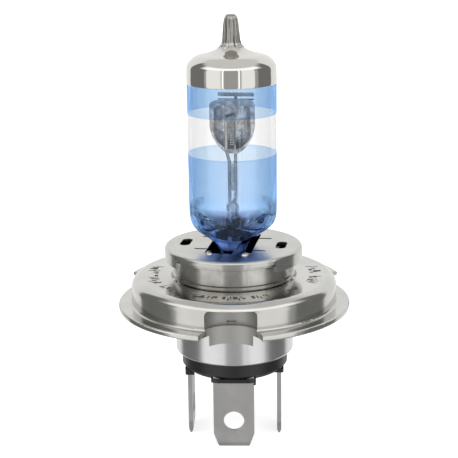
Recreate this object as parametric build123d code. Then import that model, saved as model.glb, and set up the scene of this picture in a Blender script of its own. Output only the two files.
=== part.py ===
from build123d import *

import os
from math import radians, tan

# Twin-filament halogen headlight bulb with a two-lug focus ring and three flat terminals.
# Millimetres. The lug tops lie in Z = 0, the bulb axis is Z, the glass points to +Z,
# and the ring's keyway faces -Y.

# Focus ring
ring_radius = 19.0
brim_radius = 21.5
ring_top = 1.5
sheet = 0.8
brim_top = -3.4
brim_thickness = 1.0
brim_bottom = brim_top - brim_thickness
centre_hole_radius = 11.7
hat_edge_radius = 1.8
lug_radius = 20.5
lug_edge = 0.35
lug_half_width = 4.3
lug_directions = (30, 150)

# Keyway pressed into the front of the ring
keyway_centre = -20.2
keyway_radius = 4.9
keyway_floor = -3.0
keyway_ceiling = 0.3
apron_centre = -21.96
apron_radius = 5.66
apron_half_width = 3.8
apron_end = -6.3
brim_gap_half_width = 3.9
keyway_ceiling_round = 0.9
stamped_slot = (1.6, 0.8, 0.35)

# Neck, collar and lower shell
neck_top_radius = 10.9
neck_foot_radius = 11.1
neck_wall = 0.5
neck_bead = (11.4, 1.7, 2.2)
neck_tail_radius = 10.6
neck_bottom = -3.0
lip_radius = 12.0
lip_bottom = 5.55
neck_top = 6.65
collar_sleeve_radius = 11.3
collar_flange_radius = 14.2
shell_radius = 11.0
shell_wall = 0.6
shell_bottom = -12.8
shell_lip_radius = 10.0
shell_lip = 0.5

# Cap plate that carries the pinched glass
plate_radius = 12.7
plate_top = 7.25
plate_sheet = 0.6
plate_edge_radius = 0.6
plate_edge_bottom = 6.2
skirt_bottom = 4.7
skirt_start = 45
opening = (8.4, 14.0)
slot_size = (1.9, 4.6)
slot_offset = 8.9
slit_width = 0.6
slit_length = 2.3
slit_offset = 4.2
bead_spacing = (3.2, 7.35)
bead_radius = 0.75
plate_notch = (2.4, 0.5, 0.9)

# Spring clamp under the cap plate
clamp_strap = 0.4
clamp_width = 9.0
clamp_leg_top = 4.0
clamp_ear_width = 2.4
clamp_ear_reach = 8.2

# Glass, turned a few degrees on the axis to suit the shield's cut-off
glass_turn = -7.5
glass_radius = 8.0
glass_wall = 0.95
pinch_bottom = -4.0
pinch_half_width = 6.3
pinch_half_thickness = 2.0
cavity_floor = 9.2
tip_top = 49.2
coating = 0.1
silver_start = 37.0
upper_band_start = 31.6
lower_band_end = 24.4
lower_band_start = 4.6

# Light sources and their wires
wire_spacing = 3.4
wire_radius = 0.3
outer_wire_radius = 0.4
eye_wire_radius = 0.18
foil = (0.1, 1.8, 7.5)
foil_bottom = 0.5
coil_radius = 0.5
coil_pitch = 0.42
coil_wire_radius = 0.14
main_coil = (17.3, 22.3)
main_tail = 0.5
dipped_coil = (25.6, 30.2)
dipped_tail = 0.6
shield_radius = 4.15
shield_sheet = 0.25
shield_border = 0.8
shield_bottom = 24.2
shield_top = 33.7
bridge_strips = ((34.3, 0.7), (33.4, 0.3))
bridge_length = 6.7

# Insulator and terminals
insulator_radius = 9.9
insulator_bottom = -16.1
insulator_top = -9.0
insulator_head_radius = 10.35
boss = (8.2, 1.7, 0.5)
blade_thickness = 0.8
blade_width = 7.5
blade_end = -29.3
blade_root = -8.0
front_blade_face = 9.0
side_blade_face = 8.75
blade_hole_radius = 1.9
blade_hole_height = 5.06
blade_corner = (0.95, 2.6)
blade_bevel = (0.28, 0.8)

turned = Rot(0, 0, glass_turn)


def spun(*curves):
    """Solid of revolution about Z from an outline drawn as (radius, height)."""
    return revolve(Plane.XZ * make_face(Curve() + list(curves)), Axis.Z)


def spun_polygon(*points):
    """Solid of revolution about Z from straight lines between (radius, height) points."""
    return spun(Polyline(*points, close=True))


def slab(bottom, top, radius=40.0):
    """Wide disc between two heights, for trimming."""
    return Pos(0, 0, bottom) * extrude(Circle(radius), top - bottom)


def wire(points, bends, radius):
    """Round wire along straight runs joined by bends."""
    path = FilletPolyline(*points, radius=bends)
    return sweep(Plane(origin=path @ 0, z_dir=path % 0) * Circle(radius), path=path)


# Glass

def moved_out(curve, growth, count=9):
    """The curve shifted to its right-hand side."""
    if not growth:
        return curve
    steps = [step / (count - 1) for step in range(count)]
    points = [curve @ t + (curve % t).rotate(Axis.Z, -90) * growth for t in steps]
    return Spline(*points, tangents=(curve % 0, curve % 1))


def glass_outline(growth):
    """Half section of the bulb's outside across its wide pinch, as a face."""
    neck_start, wall_start, wall_end = 8.5, 14.0, 38.6
    shoulder = moved_out(Spline((pinch_half_width, neck_start), (7.3, 10.8), (glass_radius, wall_start),
                                tangents=((0, 1), (0, 1))), growth)
    dome = moved_out(Spline((glass_radius, wall_end), (7.8, 40.4), (6.5, 41.75), (3.95, 42.5), (2.5, 43.15),
                            (1.7, 44.0), (1.37, 46.0), (1.0, 48.6), tangents=((0, 1), (-0.15, 1))), growth)
    top = tip_top + growth
    tip = ThreePointArc(dome @ 1, (0.75 + growth * 0.7, 49.05 + growth * 0.7), (0.3, top))
    stem = Polyline((0.3, top), (0, top), (0, pinch_bottom), (pinch_half_width + growth, pinch_bottom),
                    shoulder @ 0)
    return make_face(Curve() + [stem, shoulder, Line(shoulder @ 1, dome @ 0), dome, tip])


def pinch_outline(growth):
    """Section across the flat pinch, as a face wider than the bulb above the shoulder."""
    right = moved_out(Spline((pinch_half_thickness, 5.0), (3.0, 7.6), (4.6, 9.6), (7.0, 11.2), (8.9, 14.0),
                             tangents=((0, 1), (0.4, 1))), growth)
    left = mirror(right, Plane.YZ)
    low = Vector(pinch_half_thickness + growth, pinch_bottom)
    high = Vector((right @ 1).X, tip_top + 1)
    foot = Polyline(left @ 0, (-low.X, low.Y), low, right @ 0)
    head = Polyline(left @ 1, (-high.X, high.Y), high, right @ 1)
    return make_face(Curve() + [right, left, foot, head])


def glass_blank(growth=0.0):
    """Solid bulb shape, grown outward by the given amount."""
    round_body = revolve(Plane.XZ * glass_outline(growth), Axis.Z)
    return round_body & extrude(Plane.XZ * pinch_outline(growth), 12, both=True)


def glass_cavity():
    inner = glass_radius - glass_wall
    floor = Line((0, cavity_floor), (1.0, cavity_floor))
    bowl = Spline((1.0, cavity_floor), (3.4, 10.3), (5.6, 12.0), (inner, 15.2), tangents=((1, 0.1), (0, 1)))
    wall = Line((inner, 15.2), (inner, 38.4))
    dome = Spline((inner, 38.4), (6.6, 40.0), (4.0, 41.3), (1.0, 41.9), tangents=((0, 1), (-1, 0)))
    return spun(floor, bowl, wall, dome, Polyline((1.0, 41.9), (0, 41.9), (0, cavity_floor)))


def coating_band(bottom, top):
    return (glass_blank(coating) - glass_blank()) & slab(bottom, top)


# Light sources

def filament(start, end, tail):
    """Coiled wire of eight-sided section with a straight tail below its first turn."""
    section = RegularPolygon(coil_wire_radius, 8)
    turns = Helix(coil_pitch, end - start, coil_radius, center=(0, 0, start))
    coil = sweep(Plane(origin=turns @ 0, z_dir=turns % 0) * section, path=turns)
    stub = Pos(coil_radius, 0, start - tail) * extrude(section, tail + coil_wire_radius)
    return coil + stub


def beam_shield():
    """Cup of thin sheet, open to the front, around the dipped-beam coil."""
    def bullet(shrink):
        radius, low, high = shield_radius - shrink, shield_bottom + shrink, shield_top - shrink
        nose = Spline((1.0, low), (3.2, low + 2.2), (radius, low + 5.4), tangents=((1, 0.5), (0, 1)))
        rim = Polyline((radius, low + 5.4), (radius, high - 0.9))
        corner = ThreePointArc((radius, high - 0.9), (radius - 0.26, high - 0.26), (radius - 0.9, high))
        close = Polyline((radius - 0.9, high), (0, high), (0, low), (1.0, low))
        return spun(nose, rim, corner, close)

    behind = Pos(0, 5.0, 29) * Box(12, 10, 12)
    front_band = Pos(0, shield_sheet / 2, 29) * Box(12, shield_sheet, 12)
    border = (bullet(0) - bullet(shield_border)) & front_band
    cup = (bullet(0) - bullet(shield_sheet)) & behind
    return cup + border


def support_wires():
    top_of_foil = foil_bottom + foil[2]
    back = shield_radius + wire_radius
    common = wire([(0, wire_spacing, top_of_foil), (0, wire_spacing, 23.4), (0, back, 25.6),
                   (0, back, 34.6)], 1.2, wire_radius)
    for height, width in bridge_strips:
        common += Pos(0, back - wire_radius + shield_sheet, height) * Box(bridge_length, shield_sheet, width)
    link = 22.9
    bridge = wire([(0, wire_spacing, link), (coil_radius, 0, link), (coil_radius, 0, main_coil[1] + 0.1)],
                  0.25, coil_wire_radius)
    dipped = wire([(0, -wire_spacing, top_of_foil), (0, -wire_spacing, 23.4), (-0.5, -3.6, 25.4),
                   (-0.5, -3.6, 31.5), (coil_radius, 0, 31.5), (coil_radius, 0, dipped_coil[1] + 0.1)],
                  0.6, wire_radius)
    main = wire([(0, 0, top_of_foil), (0, 0, 15.0), (coil_radius, 0, 15.9),
                 (coil_radius, 0, main_coil[0] - main_tail)], 0.4, wire_radius)
    eye = Pos(0.5, -wire_spacing, 14.9) * Rot(90, 0, 0) * Torus(1.0, eye_wire_radius)
    return common + bridge, dipped + eye, main


def foil_strip(place):
    return Pos(0, place, foil_bottom + foil[2] / 2) * Box(*foil)


def outer_wire(place, direction, blade_face):
    """Lead from the pinch to a terminal, bent down onto the blade's inner face."""
    start = Vector(0, place, foil_bottom).rotate(Axis.Z, glass_turn)
    below = Vector(0, place, -5.6).rotate(Axis.Z, glass_turn)
    reach = blade_face - blade_thickness - outer_wire_radius
    end = Vector(reach, 0, -7.2).rotate(Axis.Z, direction)
    foot = Vector(reach, 0, insulator_top).rotate(Axis.Z, direction)
    return wire([start, below, end, foot], 0.8, outer_wire_radius)


# Cap plate and clamp

def cap_plate():
    bottom = plate_top - plate_sheet
    inner = plate_radius - plate_sheet
    edge = plate_edge_radius
    outline = make_face(Polyline(
        (plate_radius, plate_top), (plate_radius, skirt_bottom), (inner, skirt_bottom), (inner, bottom),
        (0, bottom), (0, plate_top), close=True))
    outline = fillet(outline.vertices().sort_by_distance((plate_radius, plate_top))[0], edge)
    plate = revolve(Plane.XZ * outline, Axis.Z)
    reach = 20.0
    spread = reach * tan(radians(skirt_start))
    wedge = make_face(Polyline((0, 0), (spread, reach), (-spread, reach), close=True))
    short_edge = Pos(0, 0, skirt_bottom - 1) * extrude(wedge, plate_edge_bottom - skirt_bottom + 1)
    plate -= short_edge + mirror(short_edge, Plane.XZ)
    for quarter in range(4):
        notch = Pos(plate_radius, 0, plate_edge_bottom) * Box(*plate_notch)
        plate -= Rot(0, 0, 45 + 90 * quarter) * notch
    through = 4.0
    plate -= Pos(0, 0, plate_top) * Box(*opening, through)
    for side in (-1, 1):
        slot = extrude(SlotOverall(slot_size[1], slot_size[0], rotation=90), through)
        plate -= Pos(side * slot_offset, 0, plate_top - through / 2) * slot
        for end in (-1, 1):
            slit_place = (side * (opening[0] + slit_length) / 2, end * slit_offset, plate_top)
            plate -= Pos(*slit_place) * Box(slit_length, slit_width, through)
            bead_place = (side * bead_spacing[0], end * bead_spacing[1], plate_top - 0.25)
            plate += Pos(*bead_place) * Sphere(bead_radius) & slab(bottom, plate_top + 1)
    return plate


def pinch_clamp():
    """U-shaped spring strap around the foot of the pinch, with ears under the cap plate."""
    strap, half = clamp_strap, pinch_half_thickness
    leg_low, leg_high = pinch_bottom - strap, clamp_leg_top
    ear_top = plate_top - plate_sheet
    arm_end = clamp_ear_reach + strap / 2
    clamp = Pos(0, 0, pinch_bottom - strap / 2) * Box(2 * (half + strap), clamp_width, strap)
    for place in (-wire_spacing, 0, wire_spacing):
        clamp -= Pos(0, place, pinch_bottom - 1) * extrude(Circle(outer_wire_radius + 0.4), 2)
    leg = Box(strap, clamp_width, leg_high - leg_low)
    arm = Box(arm_end - half, clamp_ear_width, strap)
    ear = Box(strap, clamp_ear_width, ear_top - leg_high + strap)
    for side in (-1, 1):
        clamp += Pos(side * (half + strap / 2), 0, (leg_low + leg_high) / 2) * leg
        clamp += Pos(side * (half + arm_end) / 2, 0, leg_high - strap / 2) * arm
        clamp += Pos(side * clamp_ear_reach, 0, (leg_high + ear_top - strap) / 2) * ear
    return clamp


# Base

def neck_ferrule():
    """Drawn tube: lip that holds the cap plate, slightly flared wall, bead, and a tail inside the ring."""
    bead_radius_out, bead_low, bead_high = neck_bead
    outside = [(neck_tail_radius, neck_bottom), (neck_tail_radius, bead_low - 0.5),
               (bead_radius_out - 0.3, bead_low - 0.15), (bead_radius_out, bead_low),
               (bead_radius_out, bead_high), (neck_foot_radius, bead_high + 0.15),
               (neck_top_radius, lip_bottom - 0.4),
               (neck_top_radius + 0.4, lip_bottom), (lip_radius, lip_bottom), (lip_radius, neck_top)]
    inside = [(lip_radius - neck_wall, neck_top), (lip_radius - neck_wall, lip_bottom + neck_wall),
              (neck_top_radius, lip_bottom + neck_wall), (neck_top_radius - neck_wall, lip_bottom + 0.1),
              (neck_foot_radius - neck_wall, bead_high + 0.2),
              (neck_tail_radius - neck_wall, bead_low - 0.6), (neck_tail_radius - neck_wall, neck_bottom)]
    return spun_polygon(*outside, *inside)


def weld_collar():
    """Hidden sleeve and flange that join neck and ring, above the shell."""
    flange_top = ring_top - sheet
    return spun_polygon(
        (neck_tail_radius, neck_bottom), (collar_sleeve_radius, neck_bottom),
        (collar_sleeve_radius, flange_top - 0.6), (collar_flange_radius, flange_top - 0.6),
        (collar_flange_radius, flange_top), (neck_tail_radius, flange_top))


def rounded_hat():
    """Hat section: flat top, round-edged wall and turned-out brim."""
    inner = ring_radius - sheet
    section = make_face(Polyline(
        (centre_hole_radius, ring_top - sheet), (centre_hole_radius, ring_top), (ring_radius, ring_top),
        (ring_radius, brim_top), (brim_radius, brim_top), (brim_radius, brim_bottom), (inner, brim_bottom),
        (inner, ring_top - sheet), close=True))
    rounded = (((ring_radius, ring_top), hat_edge_radius),
               ((inner, ring_top - sheet), hat_edge_radius - sheet),
               ((ring_radius, brim_top), 0.4),
               ((brim_radius, brim_top), 0.3),
               ((brim_radius, brim_bottom), 0.3))
    for place, radius in rounded:
        section = fillet(section.vertices().sort_by_distance(place)[0], radius)
    return revolve(Plane.XZ * section, Axis.Z)


def focus_ring():
    ring = rounded_hat()
    under_hat = slab(brim_bottom, ring_top - sheet + 0.1, ring_radius - 0.6)
    liner = extrude(Circle(keyway_radius + sheet), ring_top - brim_bottom)
    ring += Pos(0, keyway_centre, brim_bottom) * liner & under_hat
    below_hat = slab(apron_end, brim_top, ring_radius - 0.2)
    apron = Pos(0, apron_centre, apron_end) * extrude(Circle(apron_radius + sheet), brim_top - apron_end)
    ring += apron & Pos(0, -15, -5) * Box(2 * apron_half_width, 10, 10) & below_hat
    ring -= Pos(0, -24, brim_top - 1) * Box(2 * brim_gap_half_width, 10.8, 2.4)
    groove = extrude(Circle(keyway_radius), keyway_ceiling - keyway_floor)
    groove = fillet(groove.edges().sort_by(Axis.Z)[-1], keyway_ceiling_round)
    ring -= Pos(0, keyway_centre, keyway_floor) * groove
    ring -= Pos(0, apron_centre, apron_end - 1) * extrude(Circle(apron_radius), keyway_floor - apron_end + 1)
    slot_height = keyway_floor + 0.45
    ring -= Pos(0, keyway_centre + keyway_radius, slot_height) * Box(*stamped_slot)
    for direction in lug_directions:
        lug = Pos(0, 0, -sheet) * extrude(Circle(lug_radius) - Circle(ring_radius - 0.5), sheet)
        lug &= Pos(15, 0, 0) * Box(15, 2 * lug_half_width, 3)
        lug = fillet(lug.edges().filter_by(GeomType.CIRCLE).sort_by(SortBy.RADIUS)[-2:], lug_edge)
        ring += Rot(0, 0, direction) * lug
    return ring


def lower_shell():
    inner = shell_radius - shell_wall
    tube = spun_polygon(
        (shell_lip_radius, shell_bottom), (shell_radius, shell_bottom), (shell_radius, neck_bottom),
        (inner, neck_bottom), (inner, shell_bottom + shell_lip),
        (shell_lip_radius, shell_bottom + shell_lip))
    rim = tube.edges().filter_by(GeomType.CIRCLE).group_by(Axis.Z)[0].sort_by(SortBy.RADIUS)[-1]
    return fillet(rim, 0.4)


def blade(face_distance):
    """Flat terminal standing in the YZ plane, outer face at +X, with a hole and trimmed corners."""
    half = blade_width / 2
    cut_in, cut_up = blade_corner
    outline = make_face(Polyline(
        (-half, blade_root), (half, blade_root), (half, blade_end + cut_up), (half - cut_in, blade_end),
        (cut_in - half, blade_end), (-half, blade_end + cut_up), close=True))
    outline -= Pos(0, blade_end + blade_hole_height) * Circle(blade_hole_radius)
    plate = Pos(face_distance, 0, 0) * extrude(Plane.YZ * outline, -blade_thickness)
    inset, height = blade_bevel
    for side, face in ((1, face_distance), (-1, face_distance - blade_thickness)):
        corner = make_face(Polyline((face, blade_end), (face - side * inset, blade_end),
                                    (face, blade_end + height), close=True))
        plate -= extrude(Plane.XZ * corner, half, both=True)
    return plate


def insulator(blades):
    chamfer_size = 0.8
    body = spun_polygon(
        (0, insulator_bottom), (insulator_radius - chamfer_size, insulator_bottom),
        (insulator_radius, insulator_bottom + chamfer_size), (insulator_radius, shell_bottom + shell_lip),
        (insulator_head_radius, shell_bottom + shell_lip), (insulator_head_radius, insulator_top),
        (0, insulator_top))
    width, depth, drop = boss
    for direction, face in terminals.values():
        middle = face - blade_thickness / 2
        block = Pos(middle, 0, insulator_bottom - drop / 2 + 0.1) * Box(depth, width, drop + 0.2)
        peg = Pos(middle, width / 2 - 0.2, insulator_bottom - drop) * Box(depth, 0.4, 2 * drop)
        body += Rot(0, 0, direction) * ((block + peg) & slab(-30, 0, insulator_radius))
    for piece in blades:
        body -= piece
    return body


terminals = {
    "terminal_dipped": (-90, front_blade_face),
    "terminal_common": (180, side_blade_face),
    "terminal_main": (0, side_blade_face),
}
places = {"dipped": -wire_spacing, "common": wire_spacing, "main": 0.0}

parts = {}
for name, (direction, face) in terminals.items():
    parts[name] = Rot(0, 0, direction) * blade(face)
parts["insulator"] = insulator(list(parts.values()))
for name, place in places.items():
    direction, face = terminals["terminal_" + name]
    parts["outer_lead_" + name] = outer_wire(place, direction, face)
    parts["foil_" + name] = turned * foil_strip(place)

common_support, dipped_support, main_support = support_wires()
parts["support_wire_common"] = turned * common_support
parts["support_wire_dipped"] = turned * dipped_support
parts["support_wire_main"] = turned * main_support
parts["main_beam_filament"] = turned * filament(*main_coil, main_tail)
parts["dipped_beam_filament"] = turned * filament(*dipped_coil, dipped_tail)
parts["dipped_beam_shield"] = turned * beam_shield()

embedded = [piece for name, piece in parts.items() if name.startswith(("support", "foil", "outer"))]
glass = turned * (glass_blank() - glass_cavity())
for piece in embedded:
    glass -= piece
parts["glass_envelope"] = glass
parts["silver_tip_coating"] = turned * coating_band(silver_start, tip_top + 1)
parts["blue_band_upper"] = turned * coating_band(upper_band_start, silver_start)
parts["blue_band_lower"] = turned * coating_band(lower_band_start, lower_band_end)

parts["cap_plate"] = turned * cap_plate()
parts["pinch_clamp"] = turned * pinch_clamp()
parts["neck_ferrule"] = neck_ferrule()
parts["weld_collar"] = weld_collar()
parts["focus_ring"] = focus_ring()
parts["lower_shell"] = lower_shell()

os.makedirs("parts", exist_ok=True)
for name, solid in parts.items():
    solid.label = name
    export_step(solid, "parts/" + name + ".step")
    print(name, round(solid.volume, 2), "mm3")
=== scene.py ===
import math
import random

import bpy
from mathutils import Matrix, Vector


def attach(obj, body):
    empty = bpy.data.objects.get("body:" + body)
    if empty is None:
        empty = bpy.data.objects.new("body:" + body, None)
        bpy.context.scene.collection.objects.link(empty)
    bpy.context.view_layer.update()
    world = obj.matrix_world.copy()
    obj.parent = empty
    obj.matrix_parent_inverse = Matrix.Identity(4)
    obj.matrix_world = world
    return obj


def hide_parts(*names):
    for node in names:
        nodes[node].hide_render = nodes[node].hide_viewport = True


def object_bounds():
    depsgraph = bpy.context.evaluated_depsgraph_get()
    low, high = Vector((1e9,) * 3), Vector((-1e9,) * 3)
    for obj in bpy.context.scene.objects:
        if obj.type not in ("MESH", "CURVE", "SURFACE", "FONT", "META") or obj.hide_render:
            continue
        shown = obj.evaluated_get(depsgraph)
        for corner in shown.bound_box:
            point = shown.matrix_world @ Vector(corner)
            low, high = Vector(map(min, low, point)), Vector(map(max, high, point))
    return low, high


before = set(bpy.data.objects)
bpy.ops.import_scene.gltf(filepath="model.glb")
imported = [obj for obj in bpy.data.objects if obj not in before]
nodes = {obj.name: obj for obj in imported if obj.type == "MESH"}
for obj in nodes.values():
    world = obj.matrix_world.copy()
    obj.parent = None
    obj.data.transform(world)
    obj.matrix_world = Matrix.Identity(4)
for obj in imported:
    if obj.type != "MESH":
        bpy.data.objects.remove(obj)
cadLow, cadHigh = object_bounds()
mm = 0.001
random.seed(7)
print("frame: " + str(len(nodes)) + " CAD nodes loaded")


def hexColor(code, alpha=1.0):
    channels = [int(code[i:i + 2], 16) / 255 for i in (1, 3, 5)]
    linear = [c / 12.92 if c <= 0.04045 else ((c + 0.055) / 1.055) ** 2.4 for c in channels]
    return (*linear, alpha)


def addNode(tree, kind, settings={}, links={}):
    node = tree.nodes.new("ShaderNode" + kind)
    for name, value in settings.items():
        if isinstance(name, str) and hasattr(node, name):
            setattr(node, name, value)
        else:
            node.inputs[name].default_value = value
    for name, source in links.items():
        tree.links.new(source, node.inputs[name])
    return node


def newMaterial(name):
    material = bpy.data.materials.new(name)
    material.use_nodes = True
    tree = material.node_tree
    tree.nodes.clear()
    return material, tree


def finishMaterial(tree, surface):
    addNode(tree, "OutputMaterial", {}, {"Surface": surface})


def setRamp(node, stops):
    ramp = node.color_ramp
    while len(ramp.elements) > 1:
        ramp.elements.remove(ramp.elements[-1])
    ramp.elements[0].position, ramp.elements[0].color = stops[0]
    for place, color in stops[1:]:
        ramp.elements.new(place).color = color


def grey(value):
    return (value, value, value, 1.0)


cameraPlace = {
    "lens": 93.7,
    "distance": 212.3 * mm,   # level distance from the bulb's axis
    "height": 66.4 * mm,      # above the lug plane
    "azimuth": 2.0,           # degrees towards +X
    "pitch": 14.87,           # degrees down
    "yaw": 0.216,             # degrees to the left of the axis
    "roll": 0.75,             # degrees, the tip leans left
}


def addCamera(place):
    data = bpy.data.cameras.new("studioCamera")
    data.lens, data.sensor_width = place["lens"], 36.0
    data.clip_start, data.clip_end = 0.01, 20.0
    camera = bpy.data.objects.new("studioCamera", data)
    bpy.context.scene.collection.objects.link(camera)
    turn = math.radians(place["azimuth"])
    away = place["distance"]
    camera.location = (math.sin(turn) * away, -math.cos(turn) * away, place["height"])
    aim = Matrix.Rotation(turn + math.radians(place["yaw"]), 4, "Z")
    tilt = Matrix.Rotation(math.radians(90 - place["pitch"]), 4, "X")
    roll = Matrix.Rotation(math.radians(-place["roll"]), 4, "Z")
    camera.rotation_mode = "QUATERNION"
    camera.rotation_quaternion = (aim @ tilt @ roll).to_quaternion()
    bpy.context.scene.camera = camera


addCamera(cameraPlace)
print("camera placed")


tent = {   # a white tent, by compass direction round the bulb; 0 is the camera side
    "front": 0.42, "softbox": 1.08, "strip": 1.6, "sideFlag": 0.20, "back": 0.95,
    "top": 0.74, "bottom": 0.40,
    "hoop": 1.5,                      # a bright ring above the horizon, front half only
    "bands": [(-124, -72, "sideFlag"), (-64, -26, "softbox"), (-21.5, -19.5, "strip"), (20, 22, "strip"),
              (28, 62, "softbox"), (74, 120, "sideFlag")],
    "edge": 2.0,                      # softness of each edge, degrees
    "hoopStart": (0.38, 0.50),        # upward part of a unit direction, as are the next two
    "hoopEnd": (0.68, 0.80),
    "bottomStart": (-0.55, -0.85),
    "frontHalf": (-0.1, 0.2),         # its part toward the camera side
}


def ramped(tree, span, source):
    # 0 before the span, 1 after it
    node = addNode(tree, "MapRange", {"From Min": span[0], "From Max": span[1]}, {"Value": source})
    return node.outputs[0]


def buildTent(t):
    world = bpy.data.worlds.new("tent")
    bpy.context.scene.world = world
    world.use_nodes = True
    tree = world.node_tree
    tree.nodes.clear()
    place = addNode(tree, "TexCoord")
    part = addNode(tree, "SeparateXYZ", {}, {0: place.outputs["Generated"]})
    towardCamera = addNode(tree, "Math", {"operation": "MULTIPLY", 1: -1.0}, {0: part.outputs["Y"]})
    turn = addNode(tree, "Math", {"operation": "ARCTAN2"}, {0: part.outputs["X"], 1: towardCamera.outputs[0]})
    around = addNode(tree, "ValToRGB", {}, {0: ramped(tree, (-math.pi, math.pi), turn.outputs[0])})
    share = lambda degrees: (degrees + 180) / 360
    steps = [(-180, t["back"])]
    soft, lastEnd = t["edge"], t["bands"][-1][1]
    for start, end, kind in t["bands"]:
        after = t["back"] if end == lastEnd else t["front"]
        steps += [(start - soft, steps[-1][1]), (start, t[kind]), (end, t[kind]), (end + soft, after)]
    steps.append((180, t["back"]))
    top = max(level for place, level in steps)   # a ramp holds at most 1, so the strength carries the rest
    setRamp(around, [(share(place), grey(level / top)) for place, level in steps])
    rise = ramped(tree, t["hoopStart"], part.outputs["Z"])
    inFront = ramped(tree, t["frontHalf"], towardCamera.outputs[0])
    hoopShare = addNode(tree, "Math", {"operation": "MULTIPLY"}, {0: rise, 1: inFront})
    withHoop = addNode(tree, "Mix", {"data_type": "RGBA", 7: grey(t["hoop"] / top)},
                       {0: hoopShare.outputs[0], 6: around.outputs[0]})
    lift = ramped(tree, t["hoopEnd"], part.outputs["Z"])
    drop = ramped(tree, t["bottomStart"], part.outputs["Z"])
    withTop = addNode(tree, "Mix", {"data_type": "RGBA", 7: grey(t["top"] / top)},
                      {0: lift, 6: withHoop.outputs[2]})
    withBottom = addNode(tree, "Mix", {"data_type": "RGBA", 7: grey(t["bottom"] / top)},
                         {0: drop, 6: withTop.outputs[2]})
    glow = addNode(tree, "Background", {"Strength": top}, {"Color": withBottom.outputs[2]})
    addNode(tree, "OutputWorld", {}, {"Surface": glow.outputs[0]})


floorPlace = {"reach": 4.0, "glow": 0.62}   # metres from the axis to each edge; strength of the light below


def buildFloor(height):
    mesh = bpy.data.meshes.new("studioFloor")
    reach = floorPlace["reach"]
    corners = [(-reach, -reach, height), (reach, -reach, height),
               (reach, reach, height), (-reach, reach, height)]
    mesh.from_pydata(corners, [], [(0, 1, 2, 3)])
    floor = bpy.data.objects.new("studioFloor", mesh)
    bpy.context.scene.collection.objects.link(floor)
    # opal acrylic lit from below: pale, hardly any shadow
    material, tree = newMaterial("backlitAcrylicFloor")
    opal = addNode(tree, "BsdfDiffuse", {"Color": hexColor("#F4F4F4")})
    lit = addNode(tree, "Emission", {"Color": hexColor("#FFFFFF"), "Strength": floorPlace["glow"]})
    both = addNode(tree, "AddShader", {}, {0: opal.outputs[0], 1: lit.outputs[0]})
    finishMaterial(tree, both.outputs[0])
    mesh.materials.append(material)
    floor.visible_glossy = False


buildTent(tent)
buildFloor(cadLow.z)
bpy.context.scene.view_settings.view_transform = "Standard"
bpy.context.scene.cycles.max_bounces = 24
bpy.context.scene.cycles.transmission_bounces = 20
bpy.context.scene.cycles.transparent_max_bounces = 32
print("tent and floor built")


def roundCoordinates(tree):
    # arc length at a 15 mm radius, radius and height, all in millimetres
    place = addNode(tree, "TexCoord")
    part = addNode(tree, "SeparateXYZ", {}, {0: place.outputs["Object"]})
    turn = addNode(tree, "Math", {"operation": "ARCTAN2"}, {0: part.outputs["X"], 1: part.outputs["Y"]})
    arc = addNode(tree, "Math", {"operation": "MULTIPLY", 1: 15.0}, {0: turn.outputs[0]})
    flat = addNode(tree, "CombineXYZ", {}, {0: part.outputs["X"], 1: part.outputs["Y"]})
    reach = addNode(tree, "VectorMath", {"operation": "LENGTH"}, {0: flat.outputs[0]})
    radius = addNode(tree, "Math", {"operation": "MULTIPLY", 1: 1000.0}, {0: reach.outputs["Value"]})
    height = addNode(tree, "Math", {"operation": "MULTIPLY", 1: 1000.0}, {0: part.outputs["Z"]})
    joined = addNode(tree, "CombineXYZ", {}, {0: arc.outputs[0], 1: radius.outputs[0], 2: height.outputs[0]})
    return joined.outputs[0], place.outputs["Object"]


def perMetre(size):
    # texture scale for a pattern of the given size in millimetres
    return 1000 / size


def metalSheet(name, s):
    # s: color, dark, rough (low, high), grain (stretch of arc, radius, height), grainSize, patchSize and bump
    # in mm, and for a pressed sheet: radius and top of the dull zone in mm, its roughness and its color,
    # which is darker there as painted shade in the recess
    material, tree = newMaterial(name)
    rounded, plain = roundCoordinates(tree)
    stretch = addNode(tree, "VectorMath", {"operation": "MULTIPLY", 1: s["grain"]}, {0: rounded})
    grain = addNode(tree, "TexNoise", {"Scale": 1 / s["grainSize"], "Detail": 6.0, "Roughness": 0.65},
                    {"Vector": stretch.outputs[0]})
    patch = addNode(tree, "TexNoise", {"Scale": perMetre(s["patchSize"]), "Detail": 3.0}, {"Vector": plain})
    color = addNode(tree, "Mix", {"data_type": "RGBA", 6: hexColor(s["dark"]), 7: hexColor(s["color"])},
                    {0: ramped(tree, (0.35, 0.65), patch.outputs[0])})
    low, high = s["rough"]
    rough = addNode(tree, "MapRange", {"From Min": 0.3, "From Max": 0.7, "To Min": low, "To Max": high},
                    {"Value": grain.outputs[0]})
    if "pressed" in s:   # inner faces stretched by the press tool turn dull; their colour is also darkened there as painted shade in the recess
        radius, top, dull, shade = s["pressed"]
        part = addNode(tree, "SeparateXYZ", {}, {0: rounded})
        inward = ramped(tree, (radius, radius - 0.15), part.outputs["Y"])
        below = ramped(tree, (top, top - 0.5), part.outputs["Z"])
        dullShadedZone = addNode(tree, "Math", {"operation": "MULTIPLY"}, {0: inward, 1: below})
        color = addNode(tree, "Mix", {"data_type": "RGBA", 7: hexColor(shade)},
                        {0: dullShadedZone.outputs[0], 6: color.outputs[2]})
        rough = addNode(tree, "Mix", {3: dull}, {0: dullShadedZone.outputs[0], 2: rough.outputs[0]})
    bump = addNode(tree, "Bump", {"Strength": s["bumpStrength"], "Distance": s["bump"] * mm},
                   {"Height": grain.outputs[0]})
    surface = addNode(tree, "BsdfPrincipled", {"Metallic": 1.0},
                      {"Base Color": color.outputs[2], "Roughness": rough.outputs[0],
                       "Normal": bump.outputs[0]})
    finishMaterial(tree, surface.outputs[0])
    return material
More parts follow.
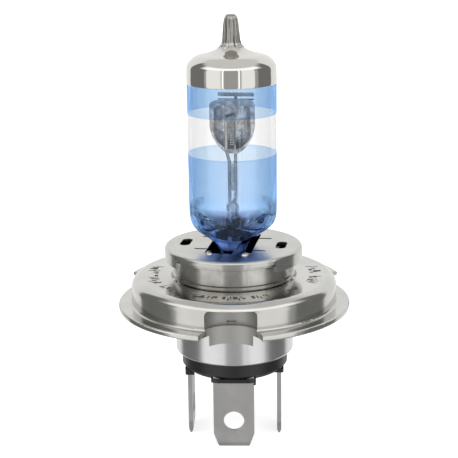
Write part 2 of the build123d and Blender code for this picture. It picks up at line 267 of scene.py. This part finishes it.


# stamped stainless sheet, tumbled: satin, fine upright drawing lines on the wall, and painted shade darkening
# the keyway recess
ringSteel = metalSheet("stampedStainless", {
    "color": "#D2D1CD", "dark": "#C6C5C0", "rough": (0.13, 0.18), "grain": (1.0, 0.4, 0.12), "grainSize": 0.5,
    "patchSize": 9.0, "bump": 0.004, "bumpStrength": 0.08, "pressed": (18.8, 0.6, 0.55, "#B9B8B4")})
# nickel-plated sheet: satin, a little duller than the ring
plateSteel = metalSheet("nickelPlatedSheet", {
    "color": "#C8C8C4", "dark": "#C0C0BB", "rough": (0.17, 0.24), "grain": (1.0, 1.0, 1.0), "grainSize": 0.35,
    "patchSize": 6.0, "bump": 0.003, "bumpStrength": 0.08})
# the same plate on a drawn tube: uneven tone, faint lines round the axis
neckSteel = metalSheet("drawnNickelPlatedTube", {
    "color": "#C4C2BD", "dark": "#A9A7A1", "rough": (0.17, 0.24), "grain": (0.3, 1.0, 1.0), "grainSize": 0.8,
    "patchSize": 5.0, "bump": 0.003, "bumpStrength": 0.15})
# aluminium tube, turned: fine rings round the axis give a soft stretched shine
shellAluminium = metalSheet("turnedAluminium", {
    "color": "#DFDFDF", "dark": "#D4D4D5", "rough": (0.20, 0.27), "grain": (0.02, 1.0, 1.0),
    "grainSize": 0.25, "patchSize": 10.0, "bump": 0.004, "bumpStrength": 0.4})
# blanked brass strip with matt tin plate: grey and even, fine pits
bladeTin = metalSheet("mattTinPlate", {
    "color": "#C6C5C3", "dark": "#BBBAB8", "rough": (0.42, 0.52), "grain": (1.0, 1.0, 1.0), "grainSize": 0.3,
    "patchSize": 4.0, "bump": 0.006, "bumpStrength": 0.4})
# rolled molybdenum, bright from the furnace
molybdenum = metalSheet("rolledMolybdenum", {
    "color": "#E0DFDE", "dark": "#C8C6C4", "rough": (0.08, 0.16), "grain": (1.0, 1.0, 0.5), "grainSize": 1.1,
    "patchSize": 1.5, "bump": 0.06, "bumpStrength": 0.6})
# the same metal pressed into a cup: uneven, so it sparkles
shieldSheet = metalSheet("pressedMolybdenum", {
    "color": "#FFFFFF", "dark": "#B4B5BA", "rough": (0.03, 0.08), "grain": (0.28, 1.0, 0.8), "grainSize": 0.9,
    "patchSize": 1.2, "bump": 0.17, "bumpStrength": 1.0})
# tungsten wire, drawn and coiled: pale, with a soft shine
tungsten = metalSheet("drawnTungsten", {
    "color": "#F4F3F1", "dark": "#DAD8D5", "rough": (0.25, 0.4), "grain": (1.0, 1.0, 1.0), "grainSize": 0.1,
    "patchSize": 0.5, "bump": 0.002, "bumpStrength": 0.3})


def blackMoulding():
    # glass-filled nylon, moulded: near black with a low even sheen and a fine spark texture
    material, tree = newMaterial("mouldedNylon")
    place = addNode(tree, "TexCoord")
    grit = addNode(tree, "TexNoise", {"Scale": perMetre(0.25), "Detail": 4.0},
                   {"Vector": place.outputs["Object"]})
    rough = addNode(tree, "MapRange", {"To Min": 0.30, "To Max": 0.46}, {"Value": grit.outputs[0]})
    bump = addNode(tree, "Bump", {"Strength": 0.3, "Distance": 0.01 * mm}, {"Height": grit.outputs[0]})
    surface = addNode(tree, "BsdfPrincipled", {"Base Color": hexColor("#161517"), "IOR": 1.52},
                      {"Roughness": rough.outputs[0], "Normal": bump.outputs[0]})
    finishMaterial(tree, surface.outputs[0])
    return material


def clearSkin(tree, tint, gloss, shine, normal):
    # a see-through skin with a mirror share that grows toward its edges and is the same from both sides
    facing = addNode(tree, "LayerWeight", {"Blend": 0.5}, normal)
    steep = addNode(tree, "Math", {"operation": "POWER", 1: 4.0}, {0: facing.outputs["Facing"]})
    share = addNode(tree, "MapRange", {"To Min": shine[0], "To Max": shine[1]}, {"Value": steep.outputs[0]})
    clear = addNode(tree, "BsdfTransparent", {}, {"Color": tint})
    mirror = addNode(tree, "BsdfGlossy", {"Color": hexColor(gloss), "Roughness": 0.02}, normal)
    return addNode(tree, "MixShader", {}, {0: share.outputs[0], 1: clear.outputs[0], 2: mirror.outputs[0]})


def edgeTint(tree, middle, edge):
    # deeper where the skin is seen edge on, because light then passes through more of it
    facing = addNode(tree, "LayerWeight", {"Blend": 0.5})
    path = addNode(tree, "Math", {"operation": "POWER", 1: 0.6}, {0: facing.outputs["Facing"]})
    tint = addNode(tree, "Mix", {"data_type": "RGBA", 6: hexColor(middle), 7: hexColor(edge)},
                   {0: path.outputs[0]})
    return tint.outputs[2]


def quartzGlass():
    # fused quartz, fire-polished: a clear thin tube with faint draw lines, and a thick foot that bends light
    material, tree = newMaterial("fusedQuartz")
    rounded = roundCoordinates(tree)[0]
    stretch = addNode(tree, "VectorMath", {"operation": "MULTIPLY", 1: (1.0, 0.0, 0.05)}, {0: rounded})
    draw = addNode(tree, "TexNoise", {"Scale": 0.35, "Detail": 2.0}, {"Vector": stretch.outputs[0]})
    bump = addNode(tree, "Bump", {"Strength": 0.25, "Distance": 0.05 * mm}, {"Height": draw.outputs[0]})
    tube = clearSkin(tree, edgeTint(tree, "#F8F8F8", "#F4F4F4"), "#FFFFFF", (0.035, 0.45),
                     {"Normal": bump.outputs[0]})
    foot = addNode(tree, "BsdfPrincipled",
                   {"Base Color": hexColor("#F4F8FD"), "Roughness": 0.0, "IOR": 1.458,
                    "Transmission Weight": 1.0}, {"Normal": bump.outputs[0]})
    part = addNode(tree, "SeparateXYZ", {}, {0: rounded})
    height = ramped(tree, (13.6, 15.2), part.outputs["Z"])   # mm, where the thick foot ends
    both = addNode(tree, "MixShader", {}, {0: height, 1: foot.outputs[0], 2: tube.outputs[0]})
    finishMaterial(tree, both.outputs[0])
    return material


def blueFilm():
    # interference coating, sprayed and baked: clear blue, deeper where it is seen edge on, faintly uneven
    material, tree = newMaterial("blueInterferenceCoating")
    place = addNode(tree, "TexCoord")
    patch = addNode(tree, "TexNoise", {"Scale": perMetre(5.0), "Detail": 3.0},
                    {"Vector": place.outputs["Object"]})
    bump = addNode(tree, "Bump", {"Strength": 0.1, "Distance": 0.05 * mm}, {"Height": patch.outputs[0]})
    part = addNode(tree, "SeparateXYZ", {}, {0: place.outputs["Object"]})
    footShadeAndShine = ramped(tree, (12.0 * mm, 8.6 * mm), part.outputs["Z"])   # a deeper blue tint low on the foot, painted shade for the dark seen through the pinch; the mirror share also rises there
    tint = addNode(tree, "Mix", {"data_type": "RGBA", 7: hexColor("#AFC0E2")},
                   {0: footShadeAndShine, 6: edgeTint(tree, "#EFF6FD", "#D8EBFC")})
    thin = clearSkin(tree, tint.outputs[2], "#DCE8FF", (0.02, 0.26), {"Normal": bump.outputs[0]})
    shadedFootSkin = clearSkin(tree, tint.outputs[2], "#93ABE8", (0.14, 0.60), {"Normal": bump.outputs[0]})
    film = addNode(tree, "MixShader", {}, {0: footShadeAndShine, 1: thin.outputs[0], 2: shadedFootSkin.outputs[0]})
    finishMaterial(tree, film.outputs[0])
    return material


def silverFilm():
    # mirror coating over hot-worked glass: bright mirror with slight ripples
    material, tree = newMaterial("silverMirrorCoating")
    place = addNode(tree, "TexCoord")
    ripple = addNode(tree, "TexNoise", {"Scale": perMetre(4.0), "Detail": 2.0},
                     {"Vector": place.outputs["Object"]})
    speck = addNode(tree, "TexNoise", {"Scale": perMetre(0.4), "Detail": 3.0},
                    {"Vector": place.outputs["Object"]})
    rough = addNode(tree, "MapRange", {"From Min": 0.3, "From Max": 0.7, "To Min": 0.03, "To Max": 0.07},
                    {"Value": speck.outputs[0]})
    bump = addNode(tree, "Bump", {"Strength": 0.1, "Distance": 0.1 * mm}, {"Height": ripple.outputs[0]})
    part = addNode(tree, "SeparateXYZ", {}, {0: place.outputs["Object"]})
    drawn = ramped(tree, (43.0 * mm, 44.4 * mm), part.outputs["Z"])   # darker tone towards the tip
    tone = addNode(tree, "Mix", {"data_type": "RGBA", 6: hexColor("#DCDAD4"), 7: hexColor("#A5A39D")},
                   {0: drawn})
    surface = addNode(tree, "BsdfPrincipled", {"Metallic": 1.0},
                      {"Base Color": tone.outputs[2], "Roughness": rough.outputs[0],
                       "Normal": bump.outputs[0]})
    finishMaterial(tree, surface.outputs[0])
    return material


nylon, quartz, blueCoat, silverCoat = blackMoulding(), quartzGlass(), blueFilm(), silverFilm()


def dress(material, *names):
    for name in names:
        piece = nodes[name]
        piece.data.materials.clear()
        piece.data.materials.append(material)


dress(ringSteel, "focus_ring", "weld_collar")
dress(plateSteel, "cap_plate", "pinch_clamp")
dress(neckSteel, "neck_ferrule")
dress(shellAluminium, "lower_shell")
dress(nylon, "insulator")
dress(bladeTin, "terminal_dipped", "terminal_common", "terminal_main")
dress(molybdenum, "support_wire_common", "support_wire_dipped", "support_wire_main",
      "foil_common", "foil_dipped", "foil_main", "outer_lead_common", "outer_lead_dipped", "outer_lead_main")
dress(shieldSheet, "dipped_beam_shield")
dress(tungsten, "dipped_beam_filament", "main_beam_filament")
print("materials made")


glassTurn = math.radians(-7.5)
glass = {
    "ringPoints": 192,
    # (radius or half width, height) in mm: front to back, then across the pinch
    "wide": [(6.3, -4.0), (6.3, 2.0), (6.35, 8.5), (6.75, 9.7), (7.35, 10.9), (7.85, 12.5), (8.0, 15.0)],
    "narrow": [(2.0, -4.0), (2.0, 4.8), (2.4, 6.4), (3.1, 7.8), (3.9, 8.9), (4.8, 9.8), (6.3, 10.6),
               (7.6, 11.6), (8.4, 13.0), (9.0, 15.0)],
    "dome": [(8.0, 36.0), (8.0, 38.6), (7.8, 40.4), (6.5, 41.75), (3.95, 42.5), (2.5, 43.15), (1.7, 44.0),
             (1.37, 46.0), (1.0, 48.6), (0.7, 49.05), (0.0, 49.2)],
    "cavity": [(0.0, 9.2), (1.0, 9.25), (3.4, 10.3), (5.6, 12.0), (7.05, 15.2), (7.05, 38.4), (6.6, 40.0),
               (4.0, 41.3), (0.0, 41.9)],
    "foot": -4.0, "shoulder": 15.0, "radius": 8.0, "tipStart": 43.4, "tipEnd": 49.0,    # mm
    "roundLimit": 20.0,    # a half width past the glass, where the section is round
    "cornerRadius": 0.3,
    "wedge": 0.8, "wedgeHeights": (12.5, 6.5),    # share by which the pinch thins at its edges, over mm
    "footSteps": 110, "tubeSteps": 21,
    "poleRadius": 0.02,    # mm, the smallest ring; a tiny cap closes it
}


def smoothLine(points, steps):
    # a curve through every point, evenly sampled between each pair
    line = []
    last = len(points) - 1
    for i in range(last):
        a, b = points[max(i - 1, 0)], points[i]
        c, d = points[i + 1], points[min(i + 2, last)]
        reach = math.dist(b, c)
        before, after = max(math.dist(a, b), 1e-6), max(math.dist(c, d), 1e-6)
        for step in range(steps):
            t = step / steps
            h = (2 * t ** 3 - 3 * t ** 2 + 1, t ** 3 - 2 * t ** 2 + t,
                 -2 * t ** 3 + 3 * t ** 2, t ** 3 - t ** 2)
            point = []
            for k in range(2):
                here = (c[k] - b[k]) / reach
                into = ((b[k] - a[k]) / before + here) / 2 if i else here
                out = (here + (d[k] - c[k]) / after) / 2 if i + 2 <= last else here
                point.append(h[0] * b[k] + h[1] * into * reach + h[2] * c[k] + h[3] * out * reach)
            line.append(tuple(point))
    line.append(tuple(points[-1]))
    return line


def widthAt(line, height):
    for (r0, z0), (r1, z1) in zip(line, line[1:]):
        if z0 <= height <= z1:
            return r0 + (r1 - r0) * (height - z0) / max(z1 - z0, 1e-9)
    return line[-1][0]


def softLimit(value, limit, blend):
    # value, eased into limit over the blend distance
    size = abs(value)
    h = max(blend - abs(size - limit), 0) / blend
    return math.copysign(min(size, limit) - h * h * blend / 4, value)


def glassRing(radius, height, narrow, growth, wrinkle=0.0):
    ring = []
    count = glass["ringPoints"]
    wedgeTop, wedgeFoot = glass["wedgeHeights"]
    wedge = glass["wedge"] * min(max((wedgeTop - height) / (wedgeTop - wedgeFoot), 0.0), 1.0)
    for i in range(count):
        turn = 2 * math.pi * i / count
        reach = radius + growth
        if wrinkle:
            reach *= 1 + wrinkle * (math.sin(9 * turn + 0.4) * 0.5 + math.sin(17 * turn + 1.9) * 0.3
                                    + math.sin(31 * turn + height * 0.6) * 0.2)
        x, y = reach * math.cos(turn), reach * math.sin(turn)
        x = softLimit(x, narrow * (1 - wedge * math.sin(turn) ** 2) + growth, glass["cornerRadius"])
        ring.append((x * math.cos(glassTurn) - y * math.sin(glassTurn),
                     x * math.sin(glassTurn) + y * math.cos(glassTurn), height))
    return ring


def outerRings(growth, bottom, top, wrinkle=0.0):
    wide, narrow = smoothLine(glass["wide"], 12), smoothLine(glass["narrow"], 12)
    dome = smoothLine(glass["dome"], 10)
    foot, shoulder, always = glass["foot"], glass["shoulder"], glass["roundLimit"]
    steps = glass["footSteps"]
    heights = [foot + (shoulder - foot) * k / steps for k in range(steps + 1)]
    heights += [shoulder + 0.5 + k for k in range(glass["tubeSteps"])]
    rings = [(widthAt(wide, z), z, widthAt(narrow, z), 0.0) for z in heights]
    rings += [(radius, z, always, 1.0 if z > glass["tipStart"] else 0.0) for radius, z in dome]

    def level(z):
        if z < shoulder:
            return widthAt(wide, z), z, widthAt(narrow, z), 0.0
        return glass["radius"], z, always, 0.0

    inside = [ring for ring in rings if bottom < ring[1] < top]
    inside.insert(0, level(bottom) if bottom > foot else rings[0])
    if top < glass["tipEnd"]:
        inside.append(level(top))
    least = glass["poleRadius"]
    return [glassRing(max(r, least), z, n, growth, wrinkle * w) for r, z, n, w in inside]


def skin(rings, closeStart, closeEnd, closeLoop=False):
    count = len(rings[0])
    points = [p for ring in rings for p in ring]
    faces = []
    spans = len(rings) if closeLoop else len(rings) - 1
    for i in range(spans):
        a, b = i * count, ((i + 1) % len(rings)) * count
        faces += [(a + j, a + (j + 1) % count, b + (j + 1) % count, b + j) for j in range(count)]
    if closeStart:
        faces.append(tuple(reversed(range(count))))
    if closeEnd:
        faces.append(tuple(range(len(points) - count, len(points))))
    return points, faces


def addPiece(name, points, faces, material, replaced):
    mesh = bpy.data.meshes.new(name)
    mesh.from_pydata([(x * mm, y * mm, z * mm) for x, y, z in points], [], faces)
    mesh.validate()
    mesh.materials.append(material)
    mesh.shade_smooth()
    piece = bpy.data.objects.new(name, mesh)
    bpy.context.scene.collection.objects.link(piece)
    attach(piece, "root")
    if replaced:
        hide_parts(*replaced)
    return piece


def buildGlass():
    outer = outerRings(0.0, glass["foot"], 49.3)
    points, faces = skin(outer, True, True)
    hollow = smoothLine(glass["cavity"], 14)
    least = glass["poleRadius"]
    cavity = [glassRing(max(r, least), z, glass["roundLimit"], 0.0) for r, z in hollow]
    inner, innerFaces = skin(cavity, True, True)
    start = len(points)
    faces += [tuple(reversed([start + k for k in face])) for face in innerFaces]
    addPiece("quartzEnvelope", points + inner, faces, quartz, ["glass_envelope"])


films = {   # span, gap to the glass and thickness in mm; wrinkle as a share of the tip's radius
    "silverTip": {"span": (37.0, 49.3), "gap": 0.02, "thickness": 0.06, "wrinkle": 0.09,
                  "look": silverCoat, "slot": "mirror_coat", "node": "silver_tip_coating"},
    "blueBandUpper": {"span": (31.6, 36.98), "gap": 0.02, "thickness": 0.04, "wrinkle": 0.0,
                      "look": blueCoat, "slot": "blue_coat", "node": "blue_band_upper"},
    "blueBandLower": {"span": (4.6, 24.4), "gap": 0.02, "thickness": 0.04, "wrinkle": 0.0,
                      "look": blueCoat, "slot": "blue_coat", "node": "blue_band_lower"},
}


def buildFilm(name, f):
    bottom, top = f["span"]
    outer = outerRings(f["gap"] + f["thickness"], bottom, top, f["wrinkle"])
    inner = outerRings(f["gap"], bottom, top, f["wrinkle"])
    if top > glass["tipEnd"]:
        points, faces = skin(outer, False, True)
        more, moreFaces = skin(inner, False, True)
        start = len(points)
        faces += [tuple(reversed([start + k for k in face])) for face in moreFaces]
        count = glass["ringPoints"]
        faces += [((j + 1) % count, j, start + j, start + (j + 1) % count) for j in range(count)]
        points += more
    else:
        points, faces = skin(outer + inner[::-1], False, False, True)
    addPiece(name, points, faces, f["look"], [f["node"]])


buildGlass()
for filmName, film in films.items():
    buildFilm(filmName, film)
print("glass and coatings built")


marks = {   # plain strokes in place of the rating and maker's text; nothing legible
    "groups": [(-148, -134), (-118, -100), (-95, -80), (-75, -63), (-50, -37),
               (163, 180), (185, 203), (-22, -5), (1, 19)],   # degrees
    "radius": 14.8, "length": 1.45, "width": 0.26, "pitch": 2.0,   # mm, mm, mm, degrees
    "height": 1.5, "depth": 0.012,
}


def etchInk():
    # laser-burnt strokes: dark oxide, matt, uneven
    material, tree = newMaterial("laserEtchedOxide")
    place = addNode(tree, "TexCoord")
    burn = addNode(tree, "TexNoise", {"Scale": perMetre(0.3), "Detail": 4.0},
                   {"Vector": place.outputs["Object"]})
    shade = addNode(tree, "Mix", {"data_type": "RGBA", 6: hexColor("#3A3836"), 7: hexColor("#7B7874")},
                    {0: burn.outputs[0]})
    rough = addNode(tree, "MapRange", {"To Min": 0.45, "To Max": 0.7}, {"Value": burn.outputs[0]})
    surface = addNode(tree, "BsdfPrincipled", {"Metallic": 0.5},
                      {"Base Color": shade.outputs[2], "Roughness": rough.outputs[0]})
    finishMaterial(tree, surface.outputs[0])
    return material


def buildMarks(m):
    points, faces = [], []
    for start, end in m["groups"]:
        turn = start
        while turn < end:
            reach = m["length"] * random.choice((0.45, 0.7, 1.0, 1.0))
            inner = m["radius"] + random.choice((-0.5, -0.5, 0.0)) * m["length"]
            spin, half = math.radians(turn), m["width"] * random.choice((0.5, 0.5, 1.1))
            along = Vector((math.cos(spin), math.sin(spin), 0))
            across = Vector((-math.sin(spin), math.cos(spin), 0))
            corners = [along * inner - across * half, along * (inner + reach) - across * half,
                       along * (inner + reach) + across * half, along * inner + across * half]
            base = len(points)
            for level in (m["height"] - m["depth"], m["height"] + m["depth"]):
                points += [(c.x, c.y, level) for c in corners]
            faces += [tuple(base + k for k in side) for side in
                      ((4, 5, 6, 7), (3, 2, 1, 0), (0, 1, 5, 4), (1, 2, 6, 5), (2, 3, 7, 6), (3, 0, 4, 7))]
            turn += m["pitch"] * random.choice((0.8, 1.0, 1.0, 1.5))
    piece = addPiece("etchedMarks", points, faces, etchInk(), [])
    for polygon in piece.data.polygons:
        polygon.use_smooth = False


buildMarks(marks)
print("etched marks built")
